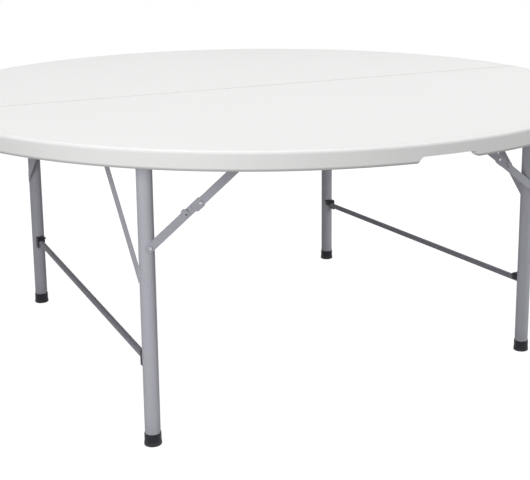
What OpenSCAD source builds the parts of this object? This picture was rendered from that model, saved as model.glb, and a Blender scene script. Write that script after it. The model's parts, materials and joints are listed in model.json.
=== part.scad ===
// Round folding banquet table in millimetres. The origin is on the floor under the middle of the top,
// X runs along the seam, and the front half with its hand hold lies toward -Y.

/* [Table top] */
// Diameter of the table top
top_d = 1830; // [1700:5:2000]
// Height of the top surface above the floor
table_h = 740; // [710:1:770]
// Height of the moulded rim
rim_h = 45; // [43:1:55]
// Width of the rim at its foot
rim_w = 26; // [20:1:34]
// How far the rim's outer face leans in toward its foot
rim_draft = 2.5; // [1:0.5:4]
// How far the rim's inner face leans out toward the panel
rim_inner_draft = 3; // [1:0.5:5]
// Radius of the rim's top edge
edge_r = 7.5; // [5:0.5:10]
// Radius of the rim's lower corners
lip_r = 6; // [2:0.5:8]
// Thickness of the hollow panel inside the rim
panel_t = 20; // [18:1:22]
// Distance of the shallow border groove from the rim's outer face
groove_in = 17; // [14:1:30]
// Width of the border groove
groove_w = 2.4; // [1:0.2:4]
// Depth of the border groove
groove_depth = 0.6; // [0.3:0.1:1]

/* [Seam] */
// Gap between the two halves
seam_gap = 1.2; // [0.4:0.1:2]
// Width of the chamfer on each side of the seam
seam_chamfer = 2.6; // [0.5:0.1:4]
// Width of the stiffening rib along the seam on each half
seam_rib_w = 24; // [18:1:30]
// Length of the opening between the seam ribs where the crossbars pass
seam_rib_gap = 240; // [200:5:320]
// Distance of the seam hinges from the middle
hinge_x = 470; // [400:5:500]
// Length of a seam hinge
hinge_len = 96; // [60:1:120]
// Width of one hinge leaf
hinge_leaf_w = 22; // [18:1:24]
// Thickness of the hinge leaves
hinge_t = 2.5; // [2:0.1:3]
// Outer diameter of the hinge knuckles
knuckle_d = 10; // [9:0.5:12]
// Diameter of the hinge pins
hinge_pin_d = 5; // [4:0.5:6]

/* [Hand hold] */
// Length of the hand hold at its upper edge
hold_top = 136; // [110:1:170]
// Length of the hand hold at the rim's foot
hold_foot = 167; // [140:1:200]
// Height of the hand hold
hold_h = 15; // [12:0.5:18]

/* [Underside] */
// Depth of the wells that take the folded legs
well_depth = 15.5; // [15.5:0.5:16]
// Radius of the wells' corners
well_r = 12; // [8:1:16]
// Clearance beside a folded leg
well_side = 3.5; // [3:0.5:6]
// Width of the well outside the outer leg
well_out = 49; // [48:1:52]
// Width of the well inside the inner leg
well_in = 42; // [40:1:50]
// Distance from a pivot at which the wide well starts
well_start = 52; // [50:1:60]
// Depth of the troughs over the pivot tubes
trough_depth = 8; // [7:0.5:10]
// Depth of the cross channel over the folded crossbar
bar_channel_depth = 4; // [3.5:0.5:6]
// Spacing of the moulded dimples
dimple_pitch = 104; // [90:1:140]
// Width of a dimple at the surface
dimple_d = 22; // [16:1:30]
// Depth of a dimple
dimple_depth = 12; // [8:0.5:14]
// Slope of a dimple's wall, in degrees from upright
dimple_slope = 18; // [10:1:25]

/* [Leg places] */
// Place of the front left leg along the seam, as a share of the top's radius
front_left_x_share = 0.612; // [0.6:0.001:0.624]
// Place of the front right leg along the seam, as a share of the top's radius
front_right_x_share = 0.625; // [0.613:0.001:0.637]
// Place of the rear left leg along the seam, as a share of the top's radius
rear_left_x_share = 0.56; // [0.548:0.001:0.572]
// Place of the rear right leg along the seam, as a share of the top's radius
rear_right_x_share = 0.568; // [0.556:0.001:0.58]
// Distance of the front left leg from the seam, as a share of the top's radius
front_left_y_share = 0.58; // [0.575:0.001:0.59]
// Distance of the rear left leg from the seam, as a share of the top's radius
rear_left_y_share = 0.639; // [0.634:0.001:0.645]
// How much nearer to the seam the right legs stand, so that folded legs lie side by side
leg_pitch = 39; // [39:0.5:42]

/* [Legs] */
// Outer diameter of the leg tubes
leg_d = 37; // [32:0.5:37]
// Wall of the leg tubes
leg_wall = 1.5; // [1:0.1:2.5]
// Depth of the leg pivots below the top surface
pivot_drop = 26.5; // [26:0.5:27]
// Outer diameter of the pivot tubes
pivot_d = 25; // [20:0.5:25]
// Wall of the pivot tubes
pivot_wall = 1.5; // [1:0.1:2.5]
// Reach of a pivot tube from the leg toward the seam, as a share of the top's radius
pivot_in_share = 0.437; // [0.42:0.001:0.445]
// Length of a pivot tube beyond the leg
pivot_out = 46; // [45:1:48]
// How far a leg tube stands above its pivot
leg_head = 4; // [3:0.5:4.5]

/* [Feet] */
// Height of the foot caps
foot_h = 30; // [24:1:40]
// Diameter of the foot caps at the floor
foot_d = 42; // [41:0.5:42]
// Diameter of the foot caps at their top
foot_top_d = 40; // [39:0.5:41]
// Thickness of the pad under the tube
foot_pad = 6; // [4:0.5:10]
// Radius of the foot caps' edges
foot_edge_r = 1.5; // [1:0.5:2]

/* [Gussets] */
// Distance of a gusset's upper end from the inner end of the pivot tube
gusset_end = 100; // [60:1:120]
// Width of the gusset straps
gusset_w = 24; // [16:1:26]
// Thickness of the gusset straps
gusset_t = 3; // [2:0.5:4]
// Depth of the hollows with which a gusset strap seats on the tubes
gusset_sink = 1; // [0.5:0.1:1.5]
// Distance of a gusset strap's upright end from the leg's middle, toward the seam
gusset_start = 2; // [0:0.5:5]

/* [Braces] */
// How far below the leg pivot a brace is riveted to the leg
brace_drop = 230; // [215:1:240]
// Distance from the leg pivot to the brace's own pivot under the top
brace_run = 305; // [295:1:315]
// Width of the brace links
link_w = 21; // [16:0.5:21]
// Thickness of the brace links
link_t = 2.5; // [2:0.1:3]
// Length of the upper link's end plate beyond the middle rivet
link_tail = 21; // [15:1:22]
// Length of the end plate
plate_len = 30; // [26:1:36]
// Width of the end plate
plate_w = 26; // [22:0.5:26]
// Chamfer of the end plate's corners
plate_cut = 5; // [3:0.5:7]
// Distance of the thumb tab on the lower link from the middle rivet
tab_back = 42; // [38:1:48]
// Height of the thumb tab above the link's edge
tab_h = 4; // [2:0.5:4]
// Length of the thumb tab
tab_len = 15; // [12:1:18]
// How far the thumb tab is pressed outward
tab_rise = 1.2; // [0.6:0.2:1.4]
// Diameter of the hole in the thumb tab
tab_hole = 4.5; // [3:0.5:6]
// Diameter of the rivet shanks
rivet_d = 7; // [5:0.5:8]
// Diameter of the rivet heads
rivet_head_d = 11; // [10:0.5:14]
// Height of the rivet heads
rivet_head_h = 1.9; // [1.5:0.1:2]

/* [Crossbars] */
// Height of the crossbars above the floor
bar_z = 205; // [190:1:230]
// Outer diameter of the crossbars
bar_d = 16; // [12:0.5:16]
// Wall of the crossbars
bar_wall = 1.2; // [1:0.1:2]
// Gap between a crossbar's end and the leg
bar_end_gap = 2; // [1:0.5:4]

/* [Clips] */
// How far a clip stands out from the leg tube
clip_out = 18; // [14:0.5:20]
// Thickness of a clip's walls
clip_wall = 2.5; // [2:0.1:3]
// Height of a clip's roof above the crossbar
clip_roof = 8; // [6:0.5:10]
// Length of the clip's long wall below the crossbar's middle
clip_skirt = 17; // [14:1:20]
// Length of the tight land in the middle of a clip's bore
clip_land = 3; // [2:0.5:6]
// How far the thumb ear reaches from the crossbar's middle
ear_reach = 15; // [13:0.5:16]
// Thickness of the thumb ear
ear_t = 3; // [2:0.5:4]

/* [Saddles] */
// Width of a pivot saddle along the tube
saddle_w = 20; // [14:1:20]
// Thickness of the saddle strap
saddle_t = 2.5; // [2:0.1:3]
// Reach of a saddle's flanges from the pivot
saddle_reach = 38; // [32:1:44]
// Distance of the outer saddle from the leg
saddle_outer = 34; // [33:1:35]
// Distance of the inner saddle from the inner end of the pivot tube
saddle_inner = 16; // [14:1:24]
// Diameter of the screw holes
screw_d = 5; // [4:0.5:6]

/* [Brace brackets] */
// Length of a brace bracket along the seam direction
bracket_len = 20; // [16:1:21]
// Thickness of a brace bracket's walls
bracket_t = 2.3; // [2:0.1:2.5]
// Reach of the bracket's flange
bracket_flange = 17; // [15:1:18]

/* [Clearances] */
// Running clearance around pins and tubes
run_gap = 0.3; // [0.2:0.05:0.5]
// Clearance of pieces that are pressed or welded together
seat_gap = 0.05; // [0:0.01:0.1]

/* [Hidden] */
// One overrun serves every cut
over = 1;
edge_steps = 8;
lip_steps = 4;
hold_steps = 10;
$fn = 64;

top_r = top_d / 2;
leg_r = leg_d / 2;
pivot_r = pivot_d / 2;
bar_r = bar_d / 2;
link_r = link_w / 2;
underside_z = table_h - panel_t;
rim_foot_z = table_h - rim_h;
pivot_z = table_h - pivot_drop;
well_z = underside_z + well_depth;
dimple_limit_r = top_r - rim_w - rim_inner_draft - dimple_d;

// Legs in the order of their names: place along the seam, place across it, side of the seam
leg_names = ["front_left", "rear_left", "front_right", "rear_right"];
// The places are rounded to whole millimetres
leg_x = [-round(front_left_x_share * top_r), -round(rear_left_x_share * top_r),
         round(front_right_x_share * top_r), round(rear_right_x_share * top_r)];
leg_y = [-round(front_left_y_share * top_r), round(rear_left_y_share * top_r),
         leg_pitch - round(front_left_y_share * top_r), round(rear_left_y_share * top_r) - leg_pitch];
// The leg that shares a crossbar with each leg
partner = [1, 0, 3, 2];

// Which way a leg folds, and which way its outer face looks
function fold_way(i) = -sign(leg_x[i]);
function out_way(i) = sign(leg_y[i]);

// The gusset straps slope at 45 degrees, from the leg up to the pivot tube
pivot_in = round(pivot_in_share * top_r);
gusset_run = pivot_in - gusset_end;
gusset_drop = gusset_run;

// A crossbar turns about the middle of each clip's bore, in which it stands a little aslant
clip_mid = leg_r + clip_out / 2;
function bar_end(i) = [leg_x[i], leg_y[i] - out_way(i) * clip_mid];
function bar_line(i) = bar_end(partner[i]) - bar_end(i);
function bar_slope(i) = abs(bar_line(i)[0] / bar_line(i)[1]);

// The brace is straight at rest and flat when folded, which fixes both of its lengths
brace_line = sqrt(brace_run ^ 2 + brace_drop ^ 2);
brace_rest = atan2(brace_drop, brace_run);
lower_len = (brace_line - (brace_run - brace_drop)) / 2;
upper_len = (brace_line + (brace_run - brace_drop)) / 2;

// Layers of a brace, counted outward from the leg's middle
lower_from = leg_r + (run_gap + rivet_head_h) / 2;
head_from = lower_from + link_t + run_gap;
upper_from = head_from + rivet_head_h + run_gap;
outer_head_from = upper_from + link_t;

function arc(cx, cz, r, a0, a1, n) = [for (k = [0 : n])
  let (a = a0 + (a1 - a0) * k / n) [cx + r * cos(a), cz + r * sin(a)]];

// Half section of the top: panel, groove and rim
module top_section() {
  face_a = atan2(rim_draft, rim_h);
  polygon(concat(
    [[0, underside_z], [0, table_h]],
    [[top_r - groove_in - groove_w, table_h],
     [top_r - groove_in - groove_w / 2, table_h - groove_depth],
     [top_r - groove_in, table_h]],
    arc(top_r - edge_r, table_h - edge_r, edge_r, 90, -face_a, edge_steps),
    arc(top_r - rim_draft - lip_r, rim_foot_z + lip_r, lip_r, -face_a, -90, lip_steps),
    arc(top_r - rim_w + lip_r, rim_foot_z + lip_r, lip_r, -90, -180, lip_steps),
    [[top_r - rim_w - rim_inner_draft, underside_z]]));
}

// Upright block with round corners, centred on its place
module soft_block(size_x, size_y, z0, z1, r) {
  translate([0, 0, z0]) {
    translate([-size_x / 2 + r, -size_y / 2, 0]) cube([size_x - 2 * r, size_y, z1 - z0]);
    translate([-size_x / 2, -size_y / 2 + r, 0]) cube([size_x, size_y - 2 * r, z1 - z0]);
    for (sx = [-1, 1]) for (sy = [-1, 1])
      translate([sx * (size_x / 2 - r), sy * (size_y / 2 - r), 0]) cylinder(r = r, h = z1 - z0);
  }
}

// Block between two corners given along X and along Y
module soft_span(x0, x1, y0, y1, z0, z1, r) {
  translate([(x0 + x1) / 2, (y0 + y1) / 2, 0]) soft_block(abs(x1 - x0), abs(y1 - y0), z0, z1, r);
}

// Wells, troughs and channels that take the folded frames of one side: its left leg l and right leg q
module recesses(l, q) {
  s = out_way(l);
  cut_z = rim_foot_z - over;
  soft_span(leg_x[l] + well_start, leg_x[q] - well_start,
    leg_y[q] - s * well_in, leg_y[l] + s * well_out, cut_z, well_z, well_r);
  for (i = [l, q]) {
    soft_span(leg_x[i] - fold_way(i) * (leg_r + well_side), leg_x[i] + fold_way(i) * (well_start + 2 * well_r),
      leg_y[i] - leg_r - well_side, leg_y[i] + leg_r + well_side, cut_z, well_z, well_side);
    soft_span(leg_x[i] - pivot_r - well_side, leg_x[i] + pivot_r + well_side,
      leg_y[i] - s * (pivot_in + well_side), leg_y[i] + s * (pivot_out + well_side),
      cut_z, underside_z + trough_depth, well_side);
  }
}

// The folded left crossbar runs from the rear leg to the front leg across the seam
function folded_bar_x(i) = leg_x[i] + fold_way(i) * (pivot_z - bar_z);

module bar_channel() {
  x0 = min(folded_bar_x(0), folded_bar_x(1)) - bar_r - well_side;
  x1 = max(folded_bar_x(0), folded_bar_x(1)) + bar_r + well_side;
  translate([x0, leg_y[0], rim_foot_z - over])
    cube([x1 - x0, leg_y[1] - leg_y[0], underside_z + bar_channel_depth - rim_foot_z + over]);
}

// Whether a dimple at a place stays clear of the wells, troughs, ribs and fittings of one side
function in_box(x, y, x0, x1, y0, y1) =
  x > min(x0, x1) - dimple_d && x < max(x0, x1) + dimple_d && y > min(y0, y1) - dimple_d && y < max(y0, y1) + dimple_d;
function on_pivot(x, y, i) = in_box(x, y, leg_x[i] - saddle_reach, leg_x[i] + saddle_reach,
  leg_y[i] - out_way(i) * pivot_in, leg_y[i] + out_way(i) * pivot_out);
function dimple_free(x, y, l, q) =
  norm([x, y]) < dimple_limit_r
  && !in_box(x, y, leg_x[l], leg_x[q], leg_y[q] - out_way(l) * well_in, leg_y[l] + out_way(l) * well_out)
  && !on_pivot(x, y, l) && !on_pivot(x, y, q)
  && !in_box(x, y, folded_bar_x(0), folded_bar_x(1), leg_y[0], leg_y[1])
  && abs(y) > seam_rib_w + dimple_d;

module dimples(l, q) {
  n = ceil(top_r / dimple_pitch);
  shrink = dimple_depth * tan(dimple_slope);
  for (a = [-n : n]) for (b = [0 : n]) {
    x = (a + (b % 2) / 2) * dimple_pitch;
    y = out_way(l) * (b + 1 / 2) * dimple_pitch;
    if (dimple_free(x, y, l, q))
      translate([x, y, underside_z - over])
        cylinder(d1 = dimple_d + 2 * over * tan(dimple_slope), d2 = dimple_d - 2 * shrink, h = dimple_depth + over, $fn = 24);
  }
}

// Gap in the foot of the rim for the fingers, with soft ends
module hand_hold(s) {
  rise = [for (k = [0 : hold_steps]) let (u = k / hold_steps)
    [hold_foot / 2 - u * (hold_foot - hold_top) / 2, rim_foot_z + hold_h * u ^ 2 * (3 - 2 * u)]];
  translate([0, s * (top_r - rim_w - rim_inner_draft - over), 0]) rotate([90, 0, s > 0 ? 180 : 0])
    linear_extrude(height = rim_w + rim_inner_draft + 2 * over)
      polygon(concat([[hold_foot / 2, rim_foot_z - over]], rise,
        [for (k = [hold_steps : -1 : 0]) [-rise[k][0], rise[k][1]]], [[-hold_foot / 2, rim_foot_z - over]]));
}

// One moulded half: l and q are its left and right legs
module top_half(l, q) {
  s = out_way(l);
  color("whitesmoke") difference() {
    union() {
      difference() {
        rotate_extrude($fn = 180) top_section();
        translate([-top_r - over, s > 0 ? -top_r - over : -seam_gap / 2, rim_foot_z - over])
          cube([top_d + 2 * over, top_r + over + seam_gap / 2, rim_h + 2 * over]);
      }
      for (m = [-1, 1])
        translate([m > 0 ? seam_rib_gap / 2 : -top_r + rim_w / 2, s > 0 ? seam_gap / 2 : -seam_gap / 2 - seam_rib_w, rim_foot_z])
          cube([top_r - rim_w / 2 - seam_rib_gap / 2, seam_rib_w, rim_h - panel_t / 2]);
    }
    translate([0, s * seam_gap / 2, table_h]) rotate([45, 0, 0])
      cube([top_d + 2 * over, seam_chamfer * sqrt(2), seam_chamfer * sqrt(2)], center = true);
    recesses(l, q);
    bar_channel();
    hand_hold(s);
    dimples(l, q);
  }
}
module top_half_front() top_half(0, 2);
module top_half_rear() top_half(1, 3);

// Seam hinge: the knuckles hang just below the ribs, so that the halves close underside to underside
hinge_axis_z = rim_foot_z - knuckle_d / 2;
knuckle_len = (hinge_len - 2 * run_gap) / 3;

module hinge_leaf(m, s) {
  color("silver") translate([m * hinge_x, 0, 0]) difference() {
    union() {
      translate([-hinge_len / 2, s > 0 ? knuckle_d / 2 + run_gap : -hinge_leaf_w, rim_foot_z - hinge_t])
        cube([hinge_len, hinge_leaf_w - knuckle_d / 2 - run_gap, hinge_t]);
      for (k = s > 0 ? [0] : [-1, 1]) translate([k * (knuckle_len + run_gap), 0, 0]) {
        translate([-knuckle_len / 2, 0, hinge_axis_z]) rotate([0, 90, 0]) cylinder(d = knuckle_d, h = knuckle_len);
        translate([-knuckle_len / 2, s > 0 ? 0 : -knuckle_d / 2 - run_gap - hinge_t, rim_foot_z - hinge_t])
          cube([knuckle_len, knuckle_d / 2 + run_gap + hinge_t, hinge_t]);
      }
    }
    translate([-hinge_len / 2 - over, 0, hinge_axis_z]) rotate([0, 90, 0])
      cylinder(d = hinge_pin_d + 2 * seat_gap, h = hinge_len + 2 * over);
    for (k = [-1, 1]) translate([k * hinge_len / 3, s * (hinge_leaf_w + knuckle_d / 2) / 2, rim_foot_z - hinge_t - over])
      cylinder(d = screw_d, h = hinge_t + 2 * over);
  }
}

module hinge_pin(m) {
  color("silver") translate([m * hinge_x - hinge_len / 2 - rivet_head_h, 0, hinge_axis_z]) rotate([0, 90, 0]) {
    cylinder(d = hinge_pin_d, h = hinge_len + 2 * rivet_head_h);
    cylinder(d = knuckle_d - hinge_t / 2, h = rivet_head_h - run_gap);
    translate([0, 0, hinge_len + rivet_head_h + run_gap])
      cylinder(d = knuckle_d - hinge_t / 2, h = rivet_head_h - run_gap);
  }
}

// Moves to a leg's pivot, with the folding way as +X and the outward way as +Y
module at_pivot(i) {
  translate([leg_x[i], leg_y[i], pivot_z])
    mirror([fold_way(i) < 0 ? 1 : 0, 0, 0]) mirror([0, out_way(i) < 0 ? 1 : 0, 0]) children();
}

// Cylinder along Y from one place to another
module across(d, y0, y1) {
  translate([0, y0, 0]) rotate([-90, 0, 0]) cylinder(d = d, h = y1 - y0);
}

module leg_tube(i) {
  color("darkgray") at_pivot(i) {
    difference() {
      translate([0, 0, foot_pad - pivot_z]) cylinder(d = leg_d, h = pivot_z - foot_pad + leg_head);
      translate([0, 0, foot_pad - pivot_z - over]) cylinder(d = leg_d - 2 * leg_wall, h = pivot_z + leg_head + 2 * over);
      across(pivot_d + 2 * seat_gap, -leg_r - over, leg_r + over);
    }
    translate([0, 0, -brace_drop]) {
      across(rivet_d + 2 * link_t, leg_r - leg_wall * 2 / 3, lower_from - run_gap);
      across(rivet_d, leg_r - leg_wall * 2 / 3, head_from + rivet_head_h / 2);
      across(rivet_head_d, head_from, head_from + rivet_head_h);
    }
  }
}

module pivot_tube(i) {
  color("darkgray") at_pivot(i) difference() {
    across(pivot_d, -pivot_in, pivot_out);
    across(pivot_d - 2 * pivot_wall, -pivot_in - over, pivot_out + over);
  }
}

// Flat strap on the outer sides of the leg and the pivot tube, hollowed to seat on both
module gusset(i) {
  slant = norm([gusset_run, gusset_drop]);
  color("darkgray") at_pivot(i) difference() {
    translate([gusset_sink - leg_r, 0, -gusset_drop])
      rotate([atan2(gusset_run, gusset_drop), 0, 0]) rotate([0, asin((leg_r - pivot_r) / slant), 0])
        translate([-gusset_t, -gusset_w / 2, -gusset_w]) cube([gusset_t, gusset_w, slant + 2 * gusset_w]);
    translate([-leg_d, -gusset_start, -pivot_z]) cube([2 * leg_d, leg_d, pivot_z]);
    translate([0, 0, -pivot_z]) cylinder(d = leg_d + 2 * seat_gap, h = pivot_z);
    across(pivot_d + 2 * seat_gap, -pivot_in, 0);
    translate([-leg_d, -pivot_in, 0]) cube([2 * leg_d, pivot_in, leg_d]);
  }
}

module foot_cap(i) {
  rt = foot_top_d / 2;
  rf = foot_d / 2;
  color([0.13, 0.14, 0.15]) translate([leg_x[i], leg_y[i], 0]) difference() {
    rotate_extrude() polygon(concat(
      [[0, 0]],
      arc(rf - foot_edge_r, foot_edge_r, foot_edge_r, -90, 0, lip_steps),
      [[rf, foot_pad], [rt, foot_pad * 2]],
      arc(rt - foot_edge_r / 2, foot_h - foot_edge_r / 2, foot_edge_r / 2, 0, 90, lip_steps),
      [[0, foot_h]]));
    translate([0, 0, foot_pad]) cylinder(d = leg_d + 2 * seat_gap, h = foot_h);
  }
}

// Moves to a leg's end of its crossbar, with the bar running along +Y away from the leg
module at_bar(i) {
  translate([bar_end(i)[0], bar_end(i)[1], bar_z])
    rotate([0, 0, atan2(bar_line(i)[1], bar_line(i)[0]) - 90]) children();
}

// Bore of a clip: a tight land in its middle, flared to both ends for the slant of the crossbar
module clip_bore(i) {
  land_r = bar_r + run_gap + clip_land / 2 * bar_slope(i);
  across(2 * land_r, -clip_land / 2, clip_land / 2);
  for (m = [0, 1]) mirror([0, m, 0]) rotate([-90, 0, 0]) translate([0, 0, clip_land / 2])
    cylinder(r1 = land_r, r2 = land_r + clip_mid * bar_slope(i), h = clip_mid);
}

// Clip that holds the crossbar from above, with a long wall, a roof and a thumb ear
module bar_clip(i) {
  seat = bar_r + run_gap + clip_out / 2 * bar_slope(i);
  color([0.13, 0.14, 0.15]) difference() {
    translate([leg_x[i], leg_y[i], bar_z])
      mirror([fold_way(i) < 0 ? 1 : 0, 0, 0]) mirror([0, out_way(i) > 0 ? 1 : 0, 0]) difference() {
        translate([0, leg_r + clip_out, 0]) rotate([90, 0, 0]) linear_extrude(height = leg_r / 2 + clip_out)
          polygon([[-seat - clip_wall, -clip_skirt], [-seat, -clip_skirt], [-seat, 0], [seat, 0],
                   [seat + clip_wall, 0], [seat + clip_wall, seat + clip_roof - clip_wall - ear_t],
                   [ear_reach, seat + clip_roof - clip_wall - ear_t], [ear_reach, seat + clip_roof - clip_wall],
                   [seat, seat + clip_roof], [-seat - clip_wall, seat + clip_roof]]);
        translate([0, clip_mid, 0]) clip_bore(i);
      }
    translate([leg_x[i], leg_y[i], 0]) cylinder(d = leg_d + 2 * seat_gap, h = pivot_z);
  }
}

// Crossbar between the clips of one side's legs
module crossbar(i) {
  start = bar_end_gap - clip_out / 2;
  span = norm(bar_line(i));
  color("darkgray") at_bar(i) difference() {
    across(bar_d, start, span - start);
    across(bar_d - 2 * bar_wall, start - over, span - start + over);
  }
}
module crossbar_left() crossbar(0);
module crossbar_right() crossbar(2);

// Flat link with round ends along +X, its thickness along +Y
module link(len, y0, tail) {
  translate([0, y0 + link_t, 0]) rotate([90, 0, 0]) linear_extrude(height = link_t) {
    translate([0, -link_r]) square([len, link_w]);
    circle(d = link_w);
    if (tail) translate([len, 0]) circle(d = link_w);
  }
}

// Plate along a link from x0 to x1, with chamfered corners
module link_plate(x0, x1, z0, z1, cut, y0, y1) {
  translate([0, y1, 0]) rotate([90, 0, 0]) linear_extrude(height = y1 - y0)
    polygon([[x0 + cut, z0], [x1 - cut, z0], [x1, z0 + cut], [x1, z1 - cut],
             [x1 - cut, z1], [x0 + cut, z1], [x0, z1 - cut], [x0, z0 + cut]]);
}

// Lower link of a brace, with its thumb tab and the boss under the middle rivet
module lower_link(i) {
  tab_x = lower_len - tab_back;
  color("darkgray") at_pivot(i) translate([0, 0, -brace_drop]) rotate([0, -brace_rest, 0]) {
    difference() {
      union() {
        link(lower_len, lower_from, true);
        link_plate(tab_x - tab_len / 2, tab_x + tab_len / 2, -link_r / 2, link_r + tab_h, tab_h,
          lower_from, lower_from + link_t + tab_rise);
      }
      across(rivet_d + 2 * run_gap, lower_from - over, lower_from + link_t + over);
      translate([tab_x, 0, 0]) across(tab_hole, lower_from - over, lower_from + link_t + tab_rise + over);
    }
    translate([lower_len, 0, 0]) across(rivet_head_d, lower_from + link_t, upper_from - run_gap);
  }
}

// Upper link of a brace, with its wide end plate and the head of the middle rivet
module upper_link(i) {
  tail_x = upper_len + link_tail;
  color("darkgray") at_pivot(i) translate([brace_run, 0, 0]) rotate([0, -brace_rest, 0]) mirror([1, 0, 0]) {
    difference() {
      link(upper_len, upper_from, false);
      across(rivet_d + 2 * run_gap, upper_from - over, upper_from + link_t + over);
    }
    link_plate(tail_x - plate_len, tail_x, -plate_w / 2, plate_w / 2, plate_cut, upper_from, upper_from + link_t);
    translate([upper_len, 0, 0]) across(rivet_head_d, outer_head_from, outer_head_from + rivet_head_h);
  }
}

// Bracket in the well: two ears and a pin hold the upper link
module brace_bracket(i) {
  inner = upper_from - run_gap - bracket_t;
  outer = upper_from + link_t + run_gap;
  top = well_z - pivot_z;
  color("silver") at_pivot(i) translate([brace_run, 0, 0]) {
    difference() {
      union() {
        for (y = [inner, outer]) translate([-bracket_len / 2, y, 0]) cube([bracket_len, bracket_t, top]);
        for (y = [inner, outer]) across_ear(y);
        translate([-bracket_len / 2, inner, top - bracket_t]) cube([bracket_len, outer + bracket_flange - inner, bracket_t]);
      }
      translate([0, outer + bracket_flange / 2 + bracket_t / 2, top - bracket_t - over]) cylinder(d = screw_d, h = bracket_t + 2 * over);
    }
    across(rivet_d, inner - rivet_head_h / 2, outer + bracket_t + rivet_head_h / 2);
  }
}

module across_ear(y) {
  across(bracket_len, y, y + bracket_t);
}

// Strap saddle around the pivot tube, with two flanges screwed under the panel
module saddle(i, y) {
  r0 = pivot_r + run_gap;
  r1 = r0 + saddle_t;
  top = underside_z - pivot_z;
  color("silver") at_pivot(i) translate([0, y, 0]) difference() {
    union() {
      across(2 * r1, -saddle_w / 2, saddle_w / 2);
      translate([-r1, -saddle_w / 2, 0]) cube([2 * r1, saddle_w, top]);
      translate([-saddle_reach, -saddle_w / 2, top - saddle_t]) cube([2 * saddle_reach, saddle_w, saddle_t]);
    }
    across(2 * r0, -saddle_w / 2 - over, saddle_w / 2 + over);
    translate([-r0, -saddle_w / 2 - over, 0]) cube([2 * r0, saddle_w + 2 * over, r1 + over]);
    translate([-saddle_reach, -saddle_w / 2 - over, top]) cube([2 * saddle_reach, saddle_w + 2 * over, r1]);
    for (m = [-1, 1]) translate([m * (saddle_reach + r1) / 2, 0, top - saddle_t - over])
      cylinder(d = screw_d, h = saddle_t + 2 * over);
  }
}

top_half_front();
top_half_rear();
for (m = [-1, 1]) {
  side = m < 0 ? "left" : "right";
  hinge_leaf(m, -1);
  hinge_leaf(m, 1);
  hinge_pin(m);
}
for (i = [0 : 3]) {
  leg_tube(i);
  pivot_tube(i);
  gusset(i);
  foot_cap(i);
  bar_clip(i);
  lower_link(i);
  upper_link(i);
  brace_bracket(i);
  saddle(i, saddle_outer);
  saddle(i, saddle_inner - pivot_in);
}
crossbar_left();
crossbar_right();
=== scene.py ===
import math

import bpy
from mathutils import Matrix, Vector
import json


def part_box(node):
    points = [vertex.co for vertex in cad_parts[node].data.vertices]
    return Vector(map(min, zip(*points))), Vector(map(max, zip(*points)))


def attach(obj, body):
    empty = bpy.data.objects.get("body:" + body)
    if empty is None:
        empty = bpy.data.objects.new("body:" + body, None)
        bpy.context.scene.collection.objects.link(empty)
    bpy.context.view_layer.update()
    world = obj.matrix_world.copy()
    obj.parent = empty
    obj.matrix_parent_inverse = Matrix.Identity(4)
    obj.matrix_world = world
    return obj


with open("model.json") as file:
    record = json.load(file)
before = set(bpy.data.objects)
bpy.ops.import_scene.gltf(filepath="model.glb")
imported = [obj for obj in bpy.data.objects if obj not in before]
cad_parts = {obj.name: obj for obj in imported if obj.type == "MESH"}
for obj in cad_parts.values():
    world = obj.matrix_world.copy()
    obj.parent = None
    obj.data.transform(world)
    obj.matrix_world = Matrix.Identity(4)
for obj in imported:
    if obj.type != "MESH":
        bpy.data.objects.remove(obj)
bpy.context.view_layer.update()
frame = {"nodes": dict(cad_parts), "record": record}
cadNodes = frame["nodes"]
print("stage: frame loaded with", len(cadNodes), "nodes")

legNames = ["front_left", "rear_left", "front_right", "rear_right"]


# camera
cameraSetup = {
    "eye": (-1.4049, -2.842, 1.2124),  # metres, in the table's frame
    "yaw": 0.5177,  # radians, from +Y toward +X
    "pitch": 0.2187,  # radians, down
    "roll": 0.0023,
    "lens": 75.94,  # mm
    "sensor": 36,  # mm
    "shift": (-0.1186, -0.142),
    "reach": 100,  # metres
}


def placeCamera(setup):
    yaw, pitch, roll = setup["yaw"], setup["pitch"], setup["roll"]
    level = math.cos(pitch)
    ahead = Vector((math.sin(yaw) * level, math.cos(yaw) * level, -math.sin(pitch)))
    right = Vector((math.cos(yaw), -math.sin(yaw), 0))
    right = right * math.cos(roll) + right.cross(ahead) * math.sin(roll)
    upward = right.cross(ahead)
    lensData = bpy.data.cameras.new("photo_camera")
    lensData.sensor_width = setup["sensor"]
    lensData.sensor_fit = "HORIZONTAL"
    lensData.lens = setup["lens"]
    lensData.shift_x, lensData.shift_y = setup["shift"]
    lensData.clip_end = setup["reach"]
    photoCamera = bpy.data.objects.new("photo_camera", lensData)
    turned = Matrix((right, upward, -ahead)).transposed().to_4x4()
    photoCamera.matrix_world = Matrix.Translation(setup["eye"]) @ turned
    bpy.context.collection.objects.link(photoCamera)
    bpy.context.scene.camera = photoCamera


placeCamera(cameraSetup)
print("stage: camera placed")


# shader maths
class Reading:
    # One socket on a node board. Sums on it add Math nodes to that board.
    def __init__(self, board, socket):
        self.board = board
        self.socket = socket

    def work(self, operation, *values):
        return self.board.node("ShaderNodeMath", {"operation": operation}, dict(enumerate(values)))

    def __add__(self, other):
        return self.work("ADD", self, other)

    def __radd__(self, other):
        return self.work("ADD", other, self)

    def __sub__(self, other):
        return self.work("SUBTRACT", self, other)

    def __rsub__(self, other):
        return self.work("SUBTRACT", other, self)

    def __mul__(self, other):
        return self.work("MULTIPLY", self, other)

    def __rmul__(self, other):
        return self.work("MULTIPLY", other, self)

    def __pow__(self, other):
        return self.work("POWER", self, other)

    def __abs__(self):
        return self.work("ABSOLUTE", self)


def total(shares, *layers):
    # sum of the layers, each times its share
    return sum(share * layer for share, layer in zip(shares, layers))


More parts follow.
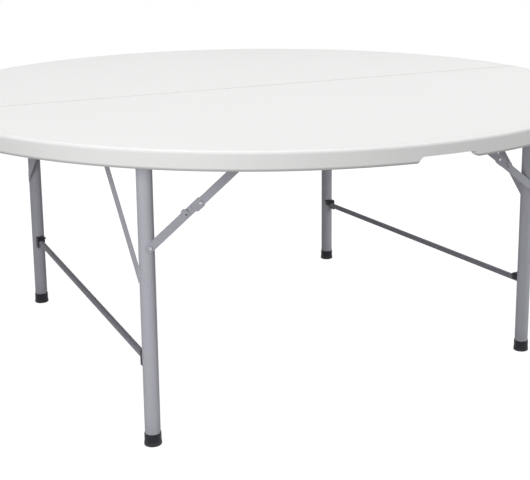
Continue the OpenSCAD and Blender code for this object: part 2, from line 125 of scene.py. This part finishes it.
class NodeBoard:
    # The node tree of a finish or of the world, emptied, and what lays nodes on it.
    def __init__(self, tree):
        self.tree = tree
        self.tree.nodes.clear()

    def join(self, value, socket):
        if isinstance(value, Reading):
            self.tree.links.new(value.socket, socket)
        else:
            socket.default_value = value

    def node(self, kind, settings, inputs, output=0):
        made = self.tree.nodes.new(kind)
        for key, value in settings.items():
            setattr(made, key, value)
        for key, value in inputs.items():
            self.join(value, made.inputs[key])
        return Reading(self, made.outputs[output])

    def seenRays(self):
        # 1 on rays that show the background: straight, by reflection or through glass
        kinds = ("Is Camera Ray", "Is Glossy Ray", "Is Transmission Ray")
        seen = sum(self.node("ShaderNodeLightPath", {}, {}, kind) for kind in kinds)
        return seen.work("MINIMUM", seen, 1.0)


class Finish(NodeBoard):
    # A material made of nodes. It reads the places on the piece in metres.
    def __init__(self, name):
        self.material = bpy.data.materials.new(name)
        self.material.use_nodes = True
        NodeBoard.__init__(self, self.material.node_tree)
        self.shader = self.tree.nodes.new("ShaderNodeBsdfPrincipled")
        self.output = self.tree.nodes.new("ShaderNodeOutputMaterial")
        self.tree.links.new(self.shader.outputs[0], self.output.inputs["Surface"])
        self.place = self.node("ShaderNodeTexCoord", {}, {}, "Object")

    def axis(self, name):
        return self.node("ShaderNodeSeparateXYZ", {}, {0: self.place}, name)

    def noise(self, scale, detail, rough=0.5, place=None):
        inputs = {"Scale": scale, "Detail": detail, "Roughness": rough}
        inputs["Vector"] = place or self.place
        return self.node("ShaderNodeTexNoise", {}, inputs)

    def streaks(self, scales, detail, rough):
        # noise on places scaled apart along each axis, for grain that runs one way
        inputs = {0: self.place, 1: scales}
        stretched = self.node("ShaderNodeVectorMath", {"operation": "MULTIPLY"}, inputs)
        return self.noise(1, detail, rough, stretched)

    def cells(self, scale, feature):
        inputs = {"Vector": self.place, "Scale": scale}
        return self.node("ShaderNodeTexVoronoi", {"feature": feature}, inputs)

    def ease(self, value, start, end):
        # 0 up to start, 1 from end on and smooth between; the start may be the larger
        inputs = {0: value, 1: start, 2: end}
        return self.node("ShaderNodeMapRange", {"interpolation_type": "SMOOTHSTEP"}, inputs)

    def blendColour(self, share, first, second):
        inputs = {0: share, 6: first, 7: second}
        return self.node("ShaderNodeMix", {"data_type": "RGBA"}, inputs, 2)

    def bump(self, height, distance, strength, under=None):
        inputs = {"Height": height, "Distance": distance, "Strength": strength}
        if under:
            inputs["Normal"] = under
        return self.node("ShaderNodeBump", {}, inputs)

    def wear(self, **sockets):
        # sets or links the shader's own sockets, written with _ for a space
        for name, value in sockets.items():
            self.join(value, self.shader.inputs[name.replace("_", " ")])
        return self.material


# Finishes. Noise has a scale per metre, a detail and at times a roughness, streaks have a
# scale along each axis, and a relief has its depth in metres and its strength.
topLook = {
    "colour": (0.885, 0.885, 0.878, 1),
    # colour of the painted shade and the dirt on the top
    "dustAndShade": (0.52, 0.515, 0.50, 1),
    "swim": (7, 1),  # slow waves of the blown skin
    "swimRelief": (0.0012, 0.6),
    "pebble": 520,  # cells per metre of the moulded grain
    "grain": (1900, 3),
    "grainShare": 0.35,  # of the grain in the relief of the pebbles
    "pebbleRelief": (0.00010, 0.8),
    "patches": (3.2, 4, 0.6),
    "scuffs": ((9, 60, 30), 5, 0.7),
    "scuffRange": (0.60, 0.74),
    "seamShadeEdge": (0.0040, 0.0022),  # metres from the seam over which its painted shade and dirt set in
    "seamRise": (0.700, 0.736),  # heights over which it does
    "grooveMiddle": 0.898,  # radius of the border groove
    "grooveShadeEdge": (0.0022, 0.0009),
    "grooveShadeRise": (0.7376, 0.7388),
    "lipShadeRise": (0.7035, 0.6985),  # painted shade along the foot of the rim, which faces down
    "lipShadeReach": (0.900, 0.906),
    "hollowShadeRise": (0.736, 0.712),  # painted shade under the panel
    "hollowShadeReach": (0.880, 0.868),
    # of the seam, groove, lip, hollow, patches and scuffs in the mix of painted shade and dirt
    "shadeAndDirtShares": (0.85, 0.25, 0.9, 0.03, 0.025, 0.02),
    "roughness": (0.40, 0.54),  # between the patches and on them
    "roughShares": (0.08, 0.05),  # of the scuffs and pebbles
    "refraction": 1.5,
}


def mouldedPlastic(look):
    finish = Finish("moulded_top")
    x, y, z = [finish.axis(name) for name in "XYZ"]
    fromMiddle = (x * x + y * y) ** 0.5
    fromGroove = abs(fromMiddle - look["grooveMiddle"])
    swim = finish.noise(*look["swim"])
    pebble = finish.cells(look["pebble"], "SMOOTH_F1")
    grain = finish.noise(*look["grain"])
    patches = finish.noise(*look["patches"])
    scuffs = finish.ease(finish.streaks(*look["scuffs"]), *look["scuffRange"])
    # painted shade and dirt in the seam's groove
    seamShadeAndDirt = finish.ease(abs(y), *look["seamShadeEdge"]) * finish.ease(z, *look["seamRise"])
    # painted shade and dirt in the border groove
    grooveShadeAndDirt = finish.ease(fromGroove, *look["grooveShadeEdge"]) * finish.ease(z, *look["grooveShadeRise"])
    # painted shade along the rim's lower edge
    lipShade = finish.ease(z, *look["lipShadeRise"]) * finish.ease(fromMiddle, *look["lipShadeReach"])
    # painted shade under the panel
    hollowShade = finish.ease(z, *look["hollowShadeRise"])
    hollowShade = hollowShade * finish.ease(fromMiddle, *look["hollowShadeReach"])
    # painted shade of the seam, groove, lip and hollow, with the dirt of the patches and scuffs
    shadeAndDirt = total(look["shadeAndDirtShares"], seamShadeAndDirt, grooveShadeAndDirt, lipShade, hollowShade, patches, scuffs)
    colour = finish.blendColour(shadeAndDirt, look["colour"], look["dustAndShade"])
    low, high = look["roughness"]
    roughness = low + (high - low) * patches + total(look["roughShares"], scuffs, pebble)
    slow = finish.bump(swim, *look["swimRelief"])
    fine = finish.bump(pebble + look["grainShare"] * grain, *look["pebbleRelief"], slow)
    return finish.wear(
        Base_Color=colour, Roughness=roughness, Normal=fine, IOR=look["refraction"])


coatLook = {
    "colour": (0.51, 0.51, 0.57, 1),
    "flake": (0.68, 0.68, 0.75, 1),
    "rub": (0.19, 0.19, 0.21, 1),
    "gloss": 0.14,  # specular level, low so that the edges stay dark
    "flakes": (2600, 2),
    "flakeRange": (0.35, 0.75),
    "peel": (620, 2),
    "flakeShare": 0.3,  # of the flakes in the relief of the peel
    "peelRelief": (0.00009, 0.8),
    "broad": (11, 3),
    "scratches": ((260, 260, 9), 4, 0.65),
    "scratchRange": (0.66, 0.74),
    "rubs": (90, 4),
    "rubRise": (0.075, 0.028),  # heights over which the rub of the floor sets in
    "wornShares": (0.35, 0.35, 0.10),  # of the scratches, floor rub and broad patches
    "roughness": 0.42,
    "roughShares": (0.10, 0.06, 0.12),  # of the broad patches, flakes and scratches
}
crossbarShadedLook = {  # the leg coat painted darker for the slim bars, as painted shade
    **coatLook,
    "colour": (0.26, 0.26, 0.30, 1),
    "flake": (0.36, 0.36, 0.41, 1),
    "rub": (0.14, 0.14, 0.155, 1),
}


def powderCoat(name, look):
    finish = Finish(name)
    flakes = finish.noise(*look["flakes"])
    peel = finish.noise(*look["peel"])
    broad = finish.noise(*look["broad"])
    scratches = finish.ease(finish.streaks(*look["scratches"]), *look["scratchRange"])
    floorRub = finish.ease(finish.axis("Z"), *look["rubRise"]) * finish.noise(*look["rubs"])
    sparkle = finish.ease(flakes, *look["flakeRange"])
    colour = finish.blendColour(sparkle, look["colour"], look["flake"])
    worn = total(look["wornShares"], scratches, floorRub, broad)
    colour = finish.blendColour(worn, colour, look["rub"])
    roughness = look["roughness"] + total(look["roughShares"], broad, flakes, scratches)
    fine = finish.bump(peel + look["flakeShare"] * flakes, *look["peelRelief"])
    return finish.wear(
        Base_Color=colour, Roughness=roughness, Normal=fine, Specular_IOR_Level=look["gloss"])


zincLook = {
    "colour": (0.60, 0.61, 0.63, 1),
    "tint": (0.55, 0.53, 0.46, 1),  # faint yellow of the passivation
    "dull": (0.36, 0.36, 0.37, 1),
    "metallic": 0.9,
    "spangle": 210,  # cells per metre
    "drawn": ((90, 1500, 1500), 4, 0.6),  # lines that the rolling leaves
    "spotShare": 0.5,  # of the spots in their relief
    "drawnRelief": (0.00005, 0.7),
    "broad": (34, 4, 0.6),
    "tintRange": (0.4, 0.7),
    "tintShare": 0.55,
    "spots": (420, 3),
    "spotRange": (0.62, 0.75),
    "dullShares": (0.4, 0.18),  # of the spots and drawn lines
    "roughness": 0.30,
    "roughShares": (0.14, 0.2, 0.08),  # of the broad patches, spots and spangle
}


def zincPlate(look):
    finish = Finish("zinc")
    spangle = finish.cells(look["spangle"], "F1")
    drawn = finish.streaks(*look["drawn"])
    broad = finish.noise(*look["broad"])
    spots = finish.ease(finish.noise(*look["spots"]), *look["spotRange"])
    tinted = look["tintShare"] * finish.ease(broad, *look["tintRange"])
    colour = finish.blendColour(tinted, look["colour"], look["tint"])
    dulled = total(look["dullShares"], spots, drawn)
    colour = finish.blendColour(dulled, colour, look["dull"])
    roughness = look["roughness"] + total(look["roughShares"], broad, spots, spangle)
    fine = finish.bump(drawn + look["spotShare"] * spots, *look["drawnRelief"])
    return finish.wear(
        Base_Color=colour, Roughness=roughness, Metallic=look["metallic"], Normal=fine)


plasticLook = {
    "colour": (0.016, 0.017, 0.024, 1),
    "dustAndShade": (0.10, 0.10, 0.105, 1),
    "gloss": 0.27,  # specular level
    "grain": (1400, 3),
    "grainRelief": (0.00008, 0.8),
    "broad": (60, 4),
    "scuffs": ((900, 900, 160), 4, 0.7),
    "scuffRange": (0.6, 0.72),
    "dustRise": (0.014, 0.001),  # heights over which the dust of the floor sets in
    "dustShares": (0.8, 0.22, 0.12),  # of the floor dust, scuffs and broad patches
    "roughness": 0.46,
    "roughShares": (0.12, 0.15),  # of the broad patches and scuffs
}


def blackPlastic(look):
    finish = Finish("black_plastic")
    grain = finish.noise(*look["grain"])
    broad = finish.noise(*look["broad"])
    scuffs = finish.ease(finish.streaks(*look["scuffs"]), *look["scuffRange"])
    floorDust = finish.ease(finish.axis("Z"), *look["dustRise"]) * broad
    dusty = total(look["dustShares"], floorDust, scuffs, broad)
    colour = finish.blendColour(dusty, look["colour"], look["dustAndShade"])
    roughness = look["roughness"] + total(look["roughShares"], broad, scuffs)
    fine = finish.bump(grain, *look["grainRelief"])
    return finish.wear(
        Base_Color=colour, Roughness=roughness, Normal=fine, Specular_IOR_Level=look["gloss"])


finishes = {
    "moulded_top": mouldedPlastic(topLook),
    "leg_coat": powderCoat("leg_coat", coatLook),
    "crossbar_shaded_coat": powderCoat("crossbar_shaded_coat", crossbarShadedLook),
    "zinc": zincPlate(zincLook),
    "black_plastic": blackPlastic(plasticLook),
}
for part in frame["record"]["subparts"]:
    cadNode = cadNodes[part["node"]]
    # the crossbars take the darker coat, with its painted shade
    onCrossbar = part["node"].startswith("crossbar")
    for holder in cadNode.material_slots:
        holder.material = finishes["crossbar_shaded_coat" if onCrossbar else part["material_slot"]]


# modelling helpers
def clearSelection():
    if bpy.context.mode != "OBJECT":
        bpy.ops.object.mode_set(mode="OBJECT")
    bpy.ops.object.select_all(action="DESELECT")


def selectOnly(piece):
    clearSelection()
    piece.select_set(True)
    bpy.context.view_layer.objects.active = piece


def selectTop(piece):
    # goes into edit mode, with the faces that look up selected
    leastUp = 0.9
    bpy.ops.object.mode_set(mode="EDIT")
    bpy.ops.mesh.select_mode(type="FACE")
    bpy.ops.mesh.select_all(action="DESELECT")
    bpy.ops.object.mode_set(mode="OBJECT")
    for face in piece.data.polygons:
        face.select = face.normal.z > leastUp
    bpy.ops.object.mode_set(mode="EDIT")


def applyAll(piece):
    if bpy.context.mode != "OBJECT":
        bpy.ops.object.mode_set(mode="OBJECT")
    bpy.context.view_layer.objects.active = piece
    for modifier in list(piece.modifiers):
        bpy.ops.object.modifier_apply(modifier=modifier.name)


def uprightDisc(radius, height, sides, foot=0.0):
    # cylinder along +Z that stands on the height of its foot
    clearSelection()
    bpy.ops.mesh.primitive_cylinder_add(
        vertices=sides, radius=radius, depth=height, location=(0, 0, foot + height / 2))
    disc = bpy.context.object
    bpy.ops.object.transform_apply(location=True)
    return disc


def raiseRings(radius, rise, rings):
    # crowns the selected faces: each ring goes in and up by its shares of radius and rise
    for inward, lift in rings:
        bpy.ops.mesh.inset(thickness=radius * inward, depth=rise * lift)
    bpy.ops.object.mode_set(mode="OBJECT")


def roundEdges(piece, width, segments, degrees):
    # softens the edges that are sharper than the angle
    rounded = piece.modifiers.new("rounded edge", "BEVEL")
    rounded.width, rounded.segments = width, segments
    rounded.angle_limit = math.radians(degrees)
    applyAll(piece)


def smoothFaces(piece, degrees):
    selectOnly(piece)
    bpy.ops.object.shade_smooth_by_angle(angle=math.radians(degrees))


def copyTo(model, places):
    # copies with their own meshes, at the given matrices, joined into one piece
    copies = []
    for place in places:
        copied = model.copy()
        copied.data = model.data.copy()
        copied.data.transform(place)
        if place.determinant() < 0:
            copied.data.flip_normals()
        bpy.context.collection.objects.link(copied)
        copies.append(copied)
    clearSelection()
    for copied in copies:
        copied.select_set(True)
    bpy.context.view_layer.objects.active = copies[0]
    bpy.ops.object.join()
    return copies[0]


def finishPiece(piece, name, slotName, body):
    piece.name = name
    piece.data.name = name
    piece.data.materials.clear()
    piece.data.materials.append(finishes[slotName])
    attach(piece, body)


def middleOf(low, high):
    return [(start + end) / 2 for start, end in zip(low, high)]


def pivotFrame(leg):
    # from a leg's own frame, with X toward the middle and Y outward from the seam, to the table's
    footLow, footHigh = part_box("foot_cap_" + leg)
    pivotLow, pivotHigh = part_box("pivot_tube_" + leg)
    x, y = middleOf(footLow, footHigh)[:2]
    z = middleOf(pivotLow, pivotHigh)[2]
    inward = -1 if x > 0 else 1
    outward = -1 if y < 0 else 1
    return Matrix.Translation((x, y, z)) @ Matrix.Diagonal((inward, outward, 1, 1))


def fitToLegs(model, place, name, slotName, body):
    # one copy for each leg, at a place in the leg's own frame
    for leg in legNames:
        fitted = copyTo(model, [pivotFrame(leg) @ Matrix.Translation(place)])
        finishPiece(fitted, name + leg, slotName, body + leg)
    bpy.data.objects.remove(model)


# Screws. Sizes are in metres, and rings and roundings as the helpers take them.
screwSize = {
    "radius": 0.0047,
    "height": 0.0024,
    "sides": 32,
    "crown": 0.0008,
    "rings": ((0.34, 0.7), (0.30, 0.3)),
    "rounding": (0.0004, 2, 40),
    "smooth": 32,  # degrees
    "recess": (0.0052, 0.0011, 0.0016),  # length, width and depth of each arm of the cross
    "saddleSide": 0.02665,  # from the middle of a saddle to a screw
    "saddleFlange": 0.0025,  # from the top of a saddle down to a screw's seat
    "saddleTurns": (0.4, 1.7, 0.9),  # radians: the first, and more per leg and per saddle
    "bracketEdge": 0.00735,  # from the outer edge of a bracket
    "bracketFlange": 0.0023,
    "bracketTurn": 0.7,  # radians more per leg
    "hingeEnd": 0.032,  # from the middle of a hinge
    "hingeSeat": 0.6925,  # height of the lower faces of the leaves
}


def panHeadScrew(size):
    # head along +Z with its seat at the origin
    head = uprightDisc(size["radius"], size["height"], size["sides"])
    selectTop(head)
    raiseRings(size["radius"], size["crown"], size["rings"])
    roundEdges(head, *size["rounding"])
    length, width, depth = size["recess"]
    for turn in (0, math.pi / 2):
        clearSelection()
        bpy.ops.mesh.primitive_cube_add(
            size=1, location=(0, 0, size["height"] + size["crown"]), rotation=(0, 0, turn))
        cutter = bpy.context.object
        cutter.scale = (length, width, depth * 2)
        bpy.ops.object.transform_apply(location=True, rotation=True, scale=True)
        cut = head.modifiers.new("cross recess", "BOOLEAN")
        cut.operation, cut.object, cut.solver = "DIFFERENCE", cutter, "EXACT"
        selectOnly(head)
        applyAll(head)
        bpy.data.objects.remove(cutter)
    smoothFaces(head, size["smooth"])
    return head


def screwPlace(x, y, z, turn):
    # head down, against a face that looks down
    upsideDown = Matrix.Rotation(math.pi, 4, "X") @ Matrix.Rotation(turn, 4, "Z")
    return Matrix.Translation((x, y, z)) @ upsideDown


def saddlePlaces(size):
    # each cross stands a little differently, as driven by hand
    places = []
    first, perLeg, perSaddle = size["saddleTurns"]
    for count, leg in enumerate(legNames):
        for number, kind in enumerate(("outer_saddle", "inner_saddle")):
            low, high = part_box(kind + "_" + leg)
            x, y = middleOf(low, high)[:2]
            seat = high[2] - size["saddleFlange"]
            for side in (-1, 1):
                turn = first + perLeg * count + perSaddle * number + side
                places.append(screwPlace(x + side * size["saddleSide"], y, seat, turn))
    return places


def bracketPlaces(size):
    places = []
    for count, leg in enumerate(legNames):
        low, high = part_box("brace_bracket_" + leg)
        outward, edge = (1, high[1]) if leg.startswith("rear") else (-1, low[1])
        x = middleOf(low, high)[0]
        y = edge - outward * size["bracketEdge"]
        seat = high[2] - size["bracketFlange"]
        places.append(screwPlace(x, y, seat, size["bracketTurn"] * count))
    return places


def hingePlaces(size):
    # halfway between the knuckle at the seam and the outer edge of each leaf
    places = []
    for side in ("left", "right"):
        for half, way in (("front", -1), ("rear", 1)):
            low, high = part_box("seam_hinge_" + side + "_" + half + "_leaf")
            x = middleOf(low, high)[0]
            y = way * (high[1] - low[1]) / 2
            for end in (-1, 1):
                placed = x + end * size["hingeEnd"]
                places.append(screwPlace(placed, y, size["hingeSeat"], end + way))
    return places


screw = panHeadScrew(screwSize)
screwRows = [
    ("saddle_screws", saddlePlaces(screwSize)),
    ("bracket_screws", bracketPlaces(screwSize)),
    ("hinge_screws", hingePlaces(screwSize)),
]
for name, places in screwRows:
    finishPiece(copyTo(screw, places), name, "zinc", "table_top")
bpy.data.objects.remove(screw)
print("stage: screws fitted,", sum(len(places) for name, places in screwRows))


# plugs in the ends of the pivot tubes
plugSize = {
    "radius": 0.0122,
    "flange": 0.0012,
    "dome": 0.0010,
    "rings": ((0.2, 0.6), (0.3, 0.4)),
    "rounding": (0.0004, 2, 50),
    "smooth": 35,  # degrees
    "tail": 0.006,
    "tailRadius": 0.0106,
    "sides": 40,
}


def tubePlug(size):
    # flange and dome along +Z, tail inside the tube below the origin
    plug = uprightDisc(size["tailRadius"], size["tail"], size["sides"], -size["tail"])
    grow = size["radius"] / size["tailRadius"]
    selectTop(plug)
    bpy.ops.mesh.inset(thickness=0)
    bpy.ops.transform.resize(value=(grow, grow, 1))
    bpy.ops.mesh.extrude_region_move(TRANSFORM_OT_translate={"value": (0, 0, size["flange"])})
    raiseRings(size["radius"], size["dome"], size["rings"])
    roundEdges(plug, *size["rounding"])
    smoothFaces(plug, size["smooth"])
    return plug


plug = tubePlug(plugSize)
for leg in legNames:
    low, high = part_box("pivot_tube_" + leg)
    x, y, z = middleOf(low, high)
    ends = [
        Matrix.Translation((x, end, z)) @ Matrix.Rotation(turn, 4, "X")
        for end, turn in ((high[1], -math.pi / 2), (low[1], math.pi / 2))
    ]
    finishPiece(copyTo(plug, ends), "tube_plugs_" + leg, "black_plastic", "leg_" + leg)
bpy.data.objects.remove(plug)
print("stage: tube plugs fitted")


# weld beads along the two cut ends of each gusset strap
weldSize = {
    "radius": 0.0019,
    "sides": 14,
    "rings": 40,
    "ripple": 0.0004,
    "rippleScale": 0.25,
    "length": 0.035,  # the slanting width of the strap
    "legEnd": (-0.0185, -0.0014, -0.298),  # middle of the upright bead, in the leg's frame
    "pivotEnd": (-0.0134, -0.300, 0.0004),  # middle of the level bead
}


def weldBead(size):
    # a rippled bead along Y, one metre long, scaled when it is laid
    clearSelection()
    bpy.ops.mesh.primitive_uv_sphere_add(
        segments=size["sides"], ring_count=size["rings"], radius=1, rotation=(math.pi / 2, 0, 0))
    bead = bpy.context.object
    bead.scale = (size["radius"], size["radius"], 1 / 2)
    bpy.ops.object.transform_apply(rotation=True, scale=True)
    ripples = bpy.data.textures.new("weld ripples", "WOOD")
    ripples.wood_type, ripples.noise_scale = "BANDS", size["rippleScale"]
    waves = bead.modifiers.new("ripples", "DISPLACE")
    waves.texture, waves.strength, waves.texture_coords = ripples, size["ripple"], "UV"
    applyAll(bead)
    selectOnly(bead)
    bpy.ops.object.shade_smooth()
    return bead


bead = weldBead(weldSize)
stretch = Matrix.Diagonal((1, weldSize["length"], 1, 1))
upright = Matrix.Translation(weldSize["legEnd"]) @ Matrix.Rotation(math.pi / 2, 4, "X")
level = Matrix.Translation(weldSize["pivotEnd"])
for leg in legNames:
    places = [pivotFrame(leg) @ laid @ stretch for laid in (upright, level)]
    finishPiece(copyTo(bead, places), "gusset_welds_" + leg, "leg_coat", "leg_" + leg)
bpy.data.objects.remove(bead)
print("stage: weld beads laid")


# bright domes on the brace rivets
rivetSize = {
    "radius": 0.0043,  # inside the edge of the frame's rivet heads
    "sides": 40,
    "sink": 0.5,  # share of the height that the edge lies lower, before the rings rise
    "rings": ((0.14, 0.24), (0.20, 0.16), (0.28, 0.10)),
    "rounding": (0.2, 3, 30),  # the width is a share of the height
    "smooth": 35,  # degrees
    "legHead": (0.0, 0.0236, -0.230),  # foot of the dome, in the leg's frame
    "middleHead": (0.1226, 0.0280, -0.1376),
    "legHeight": 0.00085,  # the upper link passes 0.1 mm above it
    "middleHeight": 0.0022,
}


def rivetCap(size, height):
    # domed cap along +Y with its foot at the origin
    cap = uprightDisc(size["radius"], height, size["sides"])
    selectTop(cap)
    bpy.ops.transform.translate(value=(0, 0, -height * size["sink"]))
    raiseRings(size["radius"], height, size["rings"])
    widthShare, segments, degrees = size["rounding"]
    roundEdges(cap, height * widthShare, segments, degrees)
    cap.data.transform(Matrix.Rotation(-math.pi / 2, 4, "X"))
    smoothFaces(cap, size["smooth"])
    return cap


rivetRows = [
    # head, height, name and body of each kind of cap
    ("legHead", "legHeight", "leg_rivet_cap_", "leg_"),
    ("middleHead", "middleHeight", "middle_rivet_cap_", "brace_upper_"),
]
for head, height, name, body in rivetRows:
    cap = rivetCap(rivetSize, rivetSize[height])
    fitToLegs(cap, rivetSize[head], name, "zinc", body)
print("stage: rivet domes fitted")


# dark plugs in the holes of the thumb tabs: painted shade where the holes look dark
holeShadeSize = {
    "radius": 0.0021,
    "depth": 0.0034,
    "sides": 32,
    "crown": 0.0007,
    "rings": ((0.22, 0.5), (0.3, 0.35), (0.2, 0.15)),
    "smooth": 40,  # degrees
    "place": (0.0890, 0.0192, -0.1629),  # foot of the dark plug, in the leg's frame
}


def holeShadePlug(size):
    # shouldered dark plug along +Y with its foot at the origin, standing in for the shade in the
    # hole
    holeShadePiece = uprightDisc(size["radius"], size["depth"], size["sides"])
    selectTop(holeShadePiece)
    raiseRings(size["radius"], size["crown"], size["rings"])
    holeShadePiece.data.transform(Matrix.Rotation(-math.pi / 2, 4, "X"))
    smoothFaces(holeShadePiece, size["smooth"])
    return holeShadePiece


holeShadePiece = holeShadePlug(holeShadeSize)
fitToLegs(holeShadePiece, holeShadeSize["place"], "hole_shade_plug_", "black_plastic", "brace_lower_")
print("stage: hole shade plugs fitted")


# dark bars beside the thumb tabs: painted shade of the slots there
slotShadeSize = {
    "box": (0.0015, 0.0010, 0.0085),  # along the link, outward, across the link
    "edge": 0.0003,
    "segments": 2,
    "slope": math.radians(37),  # of the brace
    "place": (0.0088, 0.0026, 0.0062),  # from the dark plug's foot, along the link
}


def slotShadeBar(size):
    # slim dark bar with softened edges, standing across the link as the slot's painted shade
    clearSelection()
    bpy.ops.mesh.primitive_cube_add(size=1)
    slotShadePiece = bpy.context.object
    slotShadePiece.data.transform(Matrix.Diagonal(size["box"] + (1,)))
    bpy.ops.object.mode_set(mode="EDIT")
    bpy.ops.mesh.select_all(action="SELECT")
    bpy.ops.mesh.bevel(offset=size["edge"], segments=size["segments"])
    bpy.ops.object.mode_set(mode="OBJECT")
    sloped = Matrix.Rotation(-size["slope"], 4, "Y")
    slotShadePiece.data.transform(sloped @ Matrix.Translation(size["place"]))
    return slotShadePiece


slotShadePiece = slotShadeBar(slotShadeSize)
fitToLegs(slotShadePiece, holeShadeSize["place"], "tab_slot_shade_", "black_plastic", "brace_lower_")
print("stage: tab slot shades fitted")


# floor, backdrop and light
stageLook = {
    "floorSize": 60,  # metres
    "shownColour": (0.96, 0.96, 0.96, 1),  # what the camera sees of the floor
    "bounceColour": (0.24, 0.24, 0.24, 1),  # what the floor gives back to the object
    "roughness": 0.9,
    "gloss": 0,  # specular level
    "white": (1, 1, 1, 1),
    "shownWhite": 0.82,  # how much of the floor shows plain white to the camera
    "whiteLevel": 1.17,
    "worldLevel": 0.21,
}


def paleFloor(look):
    clearSelection()
    bpy.ops.mesh.primitive_plane_add(size=look["floorSize"], location=(0, 0, 0))
    floor = bpy.context.object
    floor.name = "studio_floor"
    finish = Finish("studio_floor")
    seen = finish.seenRays()
    colour = finish.blendColour(seen, look["bounceColour"], look["shownColour"])
    finish.wear(Base_Color=colour, Roughness=look["roughness"], Specular_IOR_Level=look["gloss"])
    glow = {"Color": look["white"], "Strength": look["whiteLevel"]}
    white = finish.node("ShaderNodeEmission", {}, glow)
    plain = Reading(finish, finish.shader.outputs[0])
    shares = {0: seen * look["shownWhite"], 1: plain, 2: white}
    upper = finish.node("ShaderNodeMixShader", {}, shares)
    # seen from beneath, the floor is clear and shows the table's underside
    beneath = finish.node("ShaderNodeNewGeometry", {}, {}, "Backfacing")
    clear = finish.node("ShaderNodeBsdfTransparent", {}, {})
    surface = finish.node("ShaderNodeMixShader", {}, {0: beneath, 1: upper, 2: clear})
    finish.join(surface, finish.output.inputs["Surface"])
    floor.data.materials.append(finish.material)


def studioWorld(look):
    world = bpy.data.worlds.new("studio")
    bpy.context.scene.world = world
    world.use_nodes = True
    sky = NodeBoard(world.node_tree)
    strength = look["worldLevel"] + (1 - look["worldLevel"]) * sky.seenRays()
    light = sky.node("ShaderNodeBackground", {}, {"Color": look["white"], "Strength": strength})
    output = sky.tree.nodes.new("ShaderNodeOutputWorld")
    sky.join(light, output.inputs["Surface"])


lampRows = [
    # name, place, aim, size, watts and whether reflections show it
    ("key_softbox", (-1.9, -2.1, 1.0), (-0.5, -0.5, 0.45), 1.1, 27, False),
    ("top_softbox", (-0.9, 0.5, 4.6), (0, 0, 0.7), 3.6, 100, True),
    ("fill_softbox", (3.4, -2.2, 3.0), (0, 0, 0.6), 2.2, 90, False),
]


def studioLamps(rows):
    # the side lamps are kept out of reflections, so the top has no glare from behind
    for name, place, aim, size, watts, mirrored in rows:
        lampData = bpy.data.lights.new(name, "AREA")
        lampData.shape, lampData.size, lampData.energy = "SQUARE", size, watts
        lamp = bpy.data.objects.new(name, lampData)
        lamp.visible_camera = False
        lamp.visible_glossy = mirrored
        toward = (Vector(aim) - Vector(place)).to_track_quat("-Z", "Y")
        lamp.matrix_world = Matrix.Translation(place) @ toward.to_matrix().to_4x4()
        bpy.context.collection.objects.link(lamp)


paleFloor(stageLook)
studioWorld(stageLook)
studioLamps(lampRows)
bpy.context.scene.view_settings.view_transform = "Standard"
print("stage: floor, world and lamps set")
